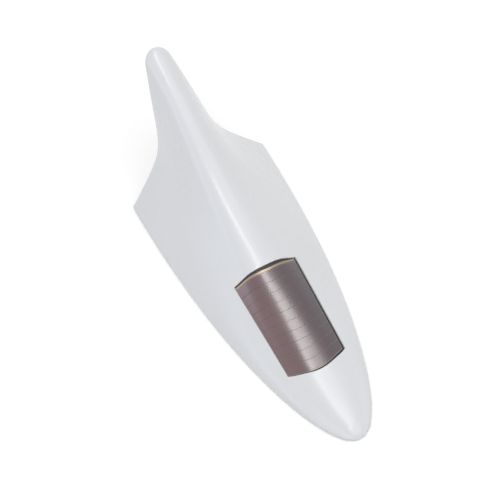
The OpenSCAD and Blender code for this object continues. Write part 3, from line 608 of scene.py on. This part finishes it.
class FIN_OT_solar_panel(bpy.types.Operator):
    """Build the curved solar film with its cell strips and its contact strip"""
    bl_idname = "fin.solar_panel"
    bl_label = "Solar panel"

    def execute(self, context):
        scene = context.scene
        panel, colours = scene.fin_panel, scene.fin_colours
        reach = panel.rear - panel.front
        film, cells, contact = (Sheets(scene) for _ in range(3))
        film.sheet(panel.film_depth, panel.film_thickness,
                   (-panel.side_gap, -panel.film_gap, -panel.film_gap), 0, 1, SHEET_DOWN)
        piece("solar_sheet", film.build("solar_sheet"), film_finish(colours),
              "solar_film")
        bare = panel.film_gap + panel.cell_margin
        side = -(panel.side_gap + panel.cell_margin)
        gap = panel.cell_gap / reach
        for i in range(panel.cells):
            cells.sheet(panel.cell_depth, panel.cell_thickness,
                        (side, -bare, -(bare + panel.contact_width + panel.cell_gap)),
                        i / panel.cells + gap / 2, (i + 1) / panel.cells - gap / 2, STRIP_DOWN)
        piece("solar_cells", cells.build("solar_cells", 1e-6), cell_finish(colours),
              "cell_strips")
        contact.sheet(panel.cell_depth, panel.cell_thickness, (side, 0, -bare),
                      1 - panel.contact_width / reach, 1, CONTACT_DOWN)
        piece("rear_contact", contact.build("rear_contact", 1e-6), contact_finish(colours),
              "contact_strip")
        return {"FINISHED"}


# ---- finishes

class Finish:
    """A node-built material for one of the object's finishes."""

    def __init__(self, name, base, roughness, **sockets):
        self.material = bpy.data.materials.new(name)
        self.material.use_nodes = True
        self.tree = self.material.node_tree
        self.shader = self.tree.nodes["Principled BSDF"]
        self.shader.inputs["Base Color"].default_value = (*base, 1)
        self.shader.inputs["Roughness"].default_value = roughness
        for name, value in sockets.items():
            self.shader.inputs[name.replace("_", " ")].default_value = value
        self.place = self.node("ShaderNodeTexCoord").outputs["Object"]
        self.bumps = None

    def node(self, kind, **values):
        made = self.tree.nodes.new(kind)
        for name, value in values.items():
            if hasattr(made, name):
                setattr(made, name, value)
            else:
                made.inputs[name.replace("_", " ").title()].default_value = value
        return made

    def link(self, a, b):
        self.tree.links.new(a, b)

    def noise(self, scale, detail, stretch=None):
        made = self.node("ShaderNodeTexNoise", scale=scale, detail=detail)
        source = self.place
        if stretch:
            mapping = self.node("ShaderNodeMapping")
            mapping.inputs["Scale"].default_value = stretch
            self.link(source, mapping.inputs["Vector"])
            source = mapping.outputs["Vector"]
        self.link(source, made.inputs["Vector"])
        return made.outputs["Fac"]

    def spread(self, value, low, high, start=0.3, stop=0.7):
        made = self.node("ShaderNodeMapRange")
        for name, bound in (("From Min", start), ("From Max", stop),
                            ("To Min", low), ("To Max", high)):
            made.inputs[name].default_value = bound
        self.link(value, made.inputs["Value"])
        return made.outputs["Result"]

    def rough(self, value, low, high):
        self.link(self.spread(value, low, high), self.shader.inputs["Roughness"])

    def tint(self, value, one, other):
        """Base colour between two colours, by a value from 0 to 1."""
        made = self.node("ShaderNodeMix", data_type="RGBA")
        for socket in made.inputs:
            if socket.type == "RGBA":
                socket.default_value = (*(one if socket.name == "A" else other), 1)
        self.link(value, made.inputs["Factor"])
        result = next(o for o in made.outputs if o.type == "RGBA")
        self.link(result, self.shader.inputs["Base Color"])

    def mottle(self, base, scale, detail, dark, light):
        """Slightly uneven base colour, between a darker and a lighter shade of it."""
        self.tint(self.spread(self.noise(scale, detail), 0, 1), shade(base, dark),
                  shade(base, light))

    def bump(self, value, distance, strength=1.0):
        made = self.node("ShaderNodeBump")
        made.inputs["Strength"].default_value = strength
        made.inputs["Distance"].default_value = distance
        self.link(value, made.inputs["Height"])
        if self.bumps:
            self.link(self.bumps, made.inputs["Normal"])
        self.bumps = made.outputs["Normal"]
        self.link(self.bumps, self.shader.inputs["Normal"])


def shade(colour, share):
    return tuple(min(1.0, c * share) for c in colour)


def moulded_white(colours):
    white = tuple(colours.shell)
    made = Finish("moulded_white", white, 0.27, IOR=1.5, Coat_Weight=0.15, Coat_Roughness=0.1)
    made.mottle(white, 22, 4, 0.985, 1.01)
    made.rough(made.noise(60, 2), 0.262, 0.278)
    made.bump(made.noise(1400, 2), 0.0000002)
    made.bump(made.noise(60, 2), 0.00001, 0.4)
    return made.material


def film_finish(colours):
    tan = tuple(colours.film)
    made = Finish("solar_film", tan, 0.25, IOR=1.65, Coat_Weight=1.0, Coat_IOR=1.6,
                  Coat_Roughness=0.2)
    made.mottle(tan, 500, 3, 0.88, 1.1)
    made.rough(made.noise(150, 2), 0.24, 0.28)
    made.bump(made.noise(1500, 2), 0.0000004)
    return made.material


def cell_finish(colours):
    red, shaded_purple = tuple(colours.cells), tuple(colours.shaded_right_cells)
    made = Finish("solar_cells", red, 0.28, IOR=1.6, Coat_Weight=1.0, Coat_IOR=1.62,
                  Coat_Roughness=0.17)
    # Painted shade: across x the cells run from the lit reddish brown on the left to the darker
    # purple on the right, mixed with some random tone from stretched noise.
    apart = made.node("ShaderNodeSeparateXYZ")
    made.link(made.place, apart.inputs["Vector"])
    side = made.spread(apart.outputs["X"], 0, 1, -0.014, 0.012)
    uneven = made.node("ShaderNodeMath", operation="MULTIPLY_ADD")
    made.link(made.noise(260, 5, (1, 0.25, 1)), uneven.inputs[0])
    uneven.inputs[1].default_value = 0.3
    made.link(side, uneven.inputs[2])
    made.tint(made.spread(uneven.outputs[0], 0, 1, 0.15, 1.15), red, shaded_purple)
    made.rough(made.noise(150, 2), 0.27, 0.29)
    made.bump(made.noise(1100, 2), 0.0000002)
    return made.material


def contact_finish(colours):
    pale = tuple(colours.contact)
    made = Finish("contact_print", pale, 0.3, Metallic=0.7)
    made.mottle(pale, 900, 3, 0.92, 1.05)
    made.bump(made.noise(2600, 2), 0.000006)
    return made.material


def plain_moulding(name, base, roughness, grain=900):
    made = Finish(name, base, roughness, IOR=1.5)
    made.mottle(base, 60, 4, 0.85, 1.2)
    made.rough(made.noise(grain / 3, 3), roughness - 0.05, roughness + 0.06)
    made.bump(made.noise(grain, 2), 0.00001)
    return made.material


def metal(name, base, roughness):
    made = Finish(name, base, roughness, Metallic=1.0)
    made.mottle(base, 150, 4, 0.9, 1.05)
    made.rough(made.noise(1500, 3), roughness - 0.06, roughness + 0.08)
    made.bump(made.noise(3500, 2), 0.000003)
    return made.material


def board_finish(colours):
    green = tuple(colours.board)
    made = Finish("board_green", green, 0.35, Coat_Weight=0.3, Coat_Roughness=0.2)
    made.mottle(green, 140, 5, 0.8, 1.25)
    weave = made.node("ShaderNodeTexWave", scale=900, distortion=0.5)
    made.link(made.place, weave.inputs["Vector"])
    made.bump(weave.outputs["Fac"], 0.000004)
    return made.material


def lens_finish(colours):
    red = tuple(colours.lens)
    made = Finish("lens_red", red, 0.06, IOR=1.49, Transmission_Weight=0.92)
    ribs = made.node("ShaderNodeTexWave", scale=95, distortion=0.0, bands_direction="X",
                     wave_profile="SIN")
    made.link(made.place, ribs.inputs["Vector"])
    made.bump(ribs.outputs["Fac"], 0.0003, 0.5)
    made.rough(made.noise(400, 2), 0.05, 0.09)
    return made.material


def epoxy_finish():
    made = Finish("lamp_epoxy", (0.75, 0.05, 0.04), 0.05, IOR=1.5, Transmission_Weight=0.7)
    made.rough(made.noise(600, 2), 0.04, 0.09)
    return made.material


def foam_finish(colours):
    dark = tuple(colours.foam)
    made = Finish("foam", dark, 0.85, IOR=1.4)
    cells = made.node("ShaderNodeTexVoronoi", scale=2400)
    made.link(made.place, cells.inputs["Vector"])
    made.tint(made.spread(cells.outputs["Distance"], 0, 1, 0.0, 0.7),
              shade(dark, 1.35), shade(dark, 0.75))
    made.bump(cells.outputs["Distance"], 0.00012, 0.8)
    made.bump(made.noise(110, 3), 0.0002, 0.5)
    return made.material


# ---- carried-over nodes

def dress(nodes, material, bevel=0.0):
    """Give CAD nodes their finish, and a small rounding where the real edges have one."""
    for name in nodes:
        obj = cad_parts[name]
        obj.data.materials.clear()
        obj.data.materials.append(material)
        if bevel:
            rounding = obj.modifiers.new("rounding", "BEVEL")
            rounding.width = bevel
            rounding.segments = 3
            rounding.limit_method = "ANGLE"
            rounding.angle_limit = math.radians(30)


class FIN_OT_foam_pad(bpy.types.Operator):
    """Build the soft foam pad under the base from its packed outline"""
    bl_idname = "fin.foam_pad"
    bl_label = "Foam pad"

    def execute(self, context):
        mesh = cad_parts["foam_pad"].data.copy()
        mesh.materials.clear()
        mesh.name = "roof_pad"
        work = bmesh.new()
        work.from_mesh(mesh)
        bmesh.ops.remove_doubles(work, verts=work.verts, dist=1e-6)
        bmesh.ops.dissolve_limit(work, angle_limit=math.radians(1), verts=work.verts,
                                 edges=work.edges)
        rims = [e for e in work.edges if len(e.link_faces) == 2 and e.calc_face_angle() > 1.2]
        bmesh.ops.bevel(work, geom=rims, offset=context.scene.fin_sizes.pad_radius, segments=3,
                        affect="EDGES", profile=0.5)
        work.to_mesh(mesh)
        work.free()
        pad = piece("roof_pad", mesh, foam_finish(context.scene.fin_colours),
                    "foam_pad", angle=40)
        return {"FINISHED"}


class FIN_OT_base(bpy.types.Operator):
    """Finish the base plate, its screws, the carrier, the tape and the slide switch"""
    bl_idname = "fin.base"
    bl_label = "Base and switch"

    def execute(self, context):
        colours = context.scene.fin_colours
        dress(["base_plate"], plain_moulding("base_black", tuple(colours.base), 0.5, 700), 0.0001)
        dress(["panel_carrier"], plain_moulding("carrier_black", tuple(colours.carrier), 0.6))
        dress(["panel_tape"], plain_moulding("tape_black", (0.03, 0.03, 0.03), 0.75, 1500))
        steel = metal("steel", (0.56, 0.56, 0.57), 0.3)
        dress(["plate_screws", "board_screws"], steel, 0.00008)
        dress(["switch_case"], metal("switch_case", (0.60, 0.60, 0.60), 0.26), 0.00012)
        dress(["switch_contacts"], metal("brass", (0.80, 0.58, 0.26), 0.25))
        slider = plain_moulding("slider_black", (0.02, 0.02, 0.021), 0.42)
        dress(["switch_slider"], slider, 0.00012)
        return {"FINISHED"}


class FIN_OT_lamp(bpy.types.Operator):
    """Finish the clear red tail lens, the lamps behind it and their board"""
    bl_idname = "fin.lamp"
    bl_label = "Tail lamp"

    def execute(self, context):
        colours = context.scene.fin_colours
        dress(["rear_lens"], lens_finish(colours), 0.00025)
        dress(["led_%d" % i for i in range(1, 9)], epoxy_finish())
        dress(["lamp_board", "main_board"], board_finish(colours), 0.00008)
        return {"FINISHED"}


class FIN_OT_electronics(bpy.types.Operator):
    """Finish the battery, the wires and the parts on the main board"""
    bl_idname = "fin.electronics"
    bl_label = "Electronics"

    def execute(self, context):
        colours = context.scene.fin_colours
        black = plain_moulding("part_black", (0.018, 0.018, 0.019), 0.45)
        dress(["control_chip", "drive_transistor", "charge_diode"], black, 0.0001)
        dress(["vibration_switch"], metal("switch_can", (0.80, 0.60, 0.28), 0.22), 0.00015)
        dress(["capacitor"], plain_moulding("capacitor_sleeve", (0.02, 0.028, 0.05), 0.3), 0.0002)
        dress(["battery_cell_%d" % i for i in range(1, 4)],
              metal("cell_steel", (0.62, 0.62, 0.63), 0.24), 0.0003)
        dress(["battery_sleeve"], plain_moulding("sleeve_blue", tuple(colours.sleeve), 0.22))
        plus, minus = (["%s_wire_%s" % (start, end) for start in ("panel", "battery", "lamp")]
                       for end in ("plus", "minus"))
        dress(plus, plain_moulding("wire_red", (0.45, 0.012, 0.010), 0.45))
        dress([*minus, "switch_wire_1", "switch_wire_2"],
              plain_moulding("wire_black", (0.015, 0.015, 0.015), 0.45))
        return {"FINISHED"}


# ---- studio

class StudioSettings(bpy.types.PropertyGroup):
    distance: length("Camera distance", "Distance of the camera from the middle of the base", 1.5)
    lens: FloatProperty(name="Lens", description="Focal length on a 36 mm sensor",
                        default=247.8, unit="CAMERA")
    heading: rotation("Heading", "Camera's turn around the object", 13.716)
    elevation: rotation("Elevation", "Camera's height angle", 55.368)
    roll: rotation("Roll", "Camera's roll", -15.148)
    aim: FloatVectorProperty(name="Aim", description="Point in the picture plane that is aimed at",
                             default=(-0.011967, 0.023897), size=2, subtype="XYZ", unit="LENGTH",
                             precision=5)
    middle: length("Middle", "Point on the roof that the camera circles", -0.00065, -1)
    floor_radius: length("Floor radius", "Radius of the floor", 4)
    sky: number("Sky", "Even light from all around", 0.68)
    opening_lap: length("Opening lap", "How far the floor reaches under the foam pad", 0.0006)
    floor_gap: length("Floor gap", "How far the floor lies below the foam pad", 0.00005)
    strip: number("Strip light", "Radiance of the long strip above", 6.5)
    front: number("Front light", "Radiance of the large light in front", 1.1)
    left: number("Left light", "Radiance of the soft left light", 0.95)
    rear: number("Rear light", "Radiance of the light behind on the right", 1.2)


# Rectangular lights: direction from the object, width and length in metres, colour, and the
# axis that the length follows. Each one's radiance is a setting of the same first word.
LIGHTS = {
    "strip_above": ((-0.025, -0.09, 0.98), (0.155, 0.9), (1.0, 0.99, 0.97), (0.66, 1, 0)),
    "front_light": ((0.08, -0.5, 0.86), (1.3, 1.0), (0.98, 1.0, 1.0), (0, 1, 0)),
    "left_light": ((-0.96, 0.05, 0.22), (0.45, 0.9), (0.72, 0.8, 1.0), (0, 1, 0)),
    "rear_light": ((0.45, 0.8, 0.4), (0.6, 0.6), (1.0, 0.95, 0.88), (0, 0, 1)),
}
LIGHT_DISTANCE, LIGHT_AIM = 1.2, (0, 0, 0.03)


def softbox(name, toward, size, tint, axis, radiance):
    """Rectangular light that looks at the object, with its length along one axis."""
    light = bpy.data.lights.new(name, "AREA")
    light.shape = "RECTANGLE"
    light.size, light.size_y = size
    light.energy = radiance * math.pi * size[0] * size[1]
    light.color = tint
    obj = bpy.data.objects.new(name, light)
    bpy.context.scene.collection.objects.link(obj)
    back = Vector(toward).normalized()
    y = (Vector(axis) - back * back.dot(Vector(axis))).normalized()
    x = y.cross(back)
    turned = Matrix((x, y, back)).transposed().to_4x4()
    turned.translation = back * LIGHT_DISTANCE + Vector(LIGHT_AIM)
    obj.matrix_world = turned


class FIN_OT_studio(bpy.types.Operator):
    """Set up the floor, the sky, the lights and the camera"""
    bl_idname = "fin.studio"
    bl_label = "Studio"

    def execute(self, context):
        scene, studio = context.scene, context.scene.fin_studio
        self.floor(scene, studio)
        self.sky(scene, studio)
        for name, placing in LIGHTS.items():
            softbox(name, *placing, getattr(studio, name.split("_")[0]))
        self.camera(scene, studio)
        scene.view_settings.view_transform = "Standard"
        return {"FINISHED"}

    def background_rays(self, tree):
        """1 for the rays that show the background: camera, glossy and transmission rays."""
        path = tree.nodes.new("ShaderNodeLightPath")
        most = path.outputs["Is Camera Ray"]
        for name in "Is Glossy Ray", "Is Transmission Ray":
            either = tree.nodes.new("ShaderNodeMath")
            either.operation = "MAXIMUM"
            tree.links.new(most, either.inputs[0])
            tree.links.new(path.outputs[name], either.inputs[1])
            most = either.outputs[0]
        return most

    def floor(self, scene, studio):
        """White floor with an opening under the foam pad, so that the underside can be seen."""
        pad = [v.co.to_2d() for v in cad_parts["foam_pad"].data.vertices]
        edge = [pad[i] for i in convex_hull_2d(pad)]
        middle = sum(edge, Vector((0, 0))) / len(edge)
        inner = [p - (p - middle).normalized() * studio.opening_lap for p in edge]
        outer = [middle + (p - middle).normalized() * studio.floor_radius for p in edge]
        n = len(edge)
        mesh = bpy.data.meshes.new("floor")
        mesh.from_pydata([(*p, -studio.floor_gap) for p in inner + outer], [],
                         [(i, n + i, n + (i + 1) % n, (i + 1) % n) for i in range(n)])
        mesh.materials.append(self.floor_finish(scene.fin_colours))
        floor = bpy.data.objects.new("floor", mesh)
        scene.collection.objects.link(floor)

    def floor_finish(self, colours):
        """Matt white that glows for the background's rays, so that it ends without an edge."""
        made = Finish("floor", tuple(colours.floor), 0.9, IOR=1.2)
        tree, shader = made.tree, made.shader
        made.bump(made.noise(300, 2), 0.00002)
        glow = made.node("ShaderNodeEmission")
        away = made.node("ShaderNodeVectorMath", operation="LENGTH")
        made.link(made.place, away.inputs[0])
        made.link(made.spread(away.outputs["Value"], 0.12, 0.9, 0.35, 1.3),
                  glow.inputs["Strength"])
        added = made.node("ShaderNodeAddShader")
        mixed = made.node("ShaderNodeMixShader")
        made.link(shader.outputs["BSDF"], added.inputs[0])
        made.link(glow.outputs["Emission"], added.inputs[1])
        made.link(self.background_rays(tree), mixed.inputs["Fac"])
        made.link(shader.outputs["BSDF"], mixed.inputs[1])
        made.link(added.outputs["Shader"], mixed.inputs[2])
        made.link(mixed.outputs["Shader"], tree.nodes["Material Output"].inputs["Surface"])
        return made.material

    def sky(self, scene, studio):
        world = bpy.data.worlds.new("studio_sky")
        scene.world = world
        world.use_nodes = True
        tree = world.node_tree
        tree.nodes.clear()
        out = tree.nodes.new("ShaderNodeOutputWorld")
        seen, lit = (tree.nodes.new("ShaderNodeBackground") for _ in range(2))
        for node, strength in (seen, 1.0), (lit, studio.sky):
            node.inputs["Color"].default_value = (1, 1, 1, 1)
            node.inputs["Strength"].default_value = strength
        mixed = tree.nodes.new("ShaderNodeMixShader")
        tree.links.new(self.background_rays(tree), mixed.inputs["Fac"])
        tree.links.new(lit.outputs[0], mixed.inputs[1])
        tree.links.new(seen.outputs[0], mixed.inputs[2])
        tree.links.new(mixed.outputs[0], out.inputs["Surface"])

    def camera(self, scene, studio):
        yaw, up_angle, roll = studio.heading, studio.elevation, studio.roll
        back = Vector((-math.sin(yaw) * math.cos(up_angle), -math.cos(yaw) * math.cos(up_angle),
                       math.sin(up_angle)))
        level = Vector((math.cos(yaw), -math.sin(yaw), 0))
        upright = back.cross(level)
        right = math.cos(roll) * level + math.sin(roll) * upright
        up = -math.sin(roll) * level + math.cos(roll) * upright
        middle = Vector((0, studio.middle, 0))
        place = middle + back * studio.distance
        target = middle + right * studio.aim[0] + up * studio.aim[1]
        view = (place - target).normalized()
        side = up.cross(view).normalized()
        turned = Matrix((side, view.cross(side), view)).transposed().to_4x4()
        turned.translation = place
        data = bpy.data.cameras.new("camera")
        data.sensor_width = 36
        data.lens = studio.lens
        data.clip_start, data.clip_end = 0.05, 30
        camera = bpy.data.objects.new("camera", data)
        scene.collection.objects.link(camera)
        camera.matrix_world = turned
        scene.camera = camera


# ---- add-on

STEPS = (FIN_OT_moulding, FIN_OT_solar_panel, FIN_OT_foam_pad, FIN_OT_base, FIN_OT_lamp,
         FIN_OT_electronics, FIN_OT_studio)
GROUPS = {"fin_sizes": FinSizes, "fin_panel": PanelSizes, "fin_lamp": LampSizes,
          "fin_colours": FinColours, "fin_studio": StudioSettings}


class FIN_PT_panel(bpy.types.Panel):
    """Pieces of the shark fin aerial, in the order in which they are made"""
    bl_idname = "FIN_PT_panel"
    bl_label = "Shark fin"
    bl_space_type = "VIEW_3D"
    bl_region_type = "UI"
    bl_category = "Shark fin"

    def draw(self, context):
        for step in STEPS:
            self.layout.operator(step.bl_idname)
        for group in GROUPS:
            box = self.layout.box()
            settings = getattr(context.scene, group)
            for name in settings.__annotations__:
                box.prop(settings, name)


def register():
    for made in (*GROUPS.values(), *STEPS, FIN_PT_panel):
        bpy.utils.register_class(made)
    for name, group in GROUPS.items():
        setattr(bpy.types.Scene, name, PointerProperty(type=group))


def unregister():
    for name in GROUPS:
        delattr(bpy.types.Scene, name)
    for made in (FIN_PT_panel, *reversed(STEPS), *reversed(tuple(GROUPS.values()))):
        bpy.utils.unregister_class(made)


def main():
    register()
    bpy.ops.fin.moulding()
    bpy.ops.fin.solar_panel()
    bpy.ops.fin.foam_pad()
    bpy.ops.fin.base()
    bpy.ops.fin.lamp()
    bpy.ops.fin.electronics()
    bpy.ops.fin.studio()


if __name__ == "__main__":
    main()
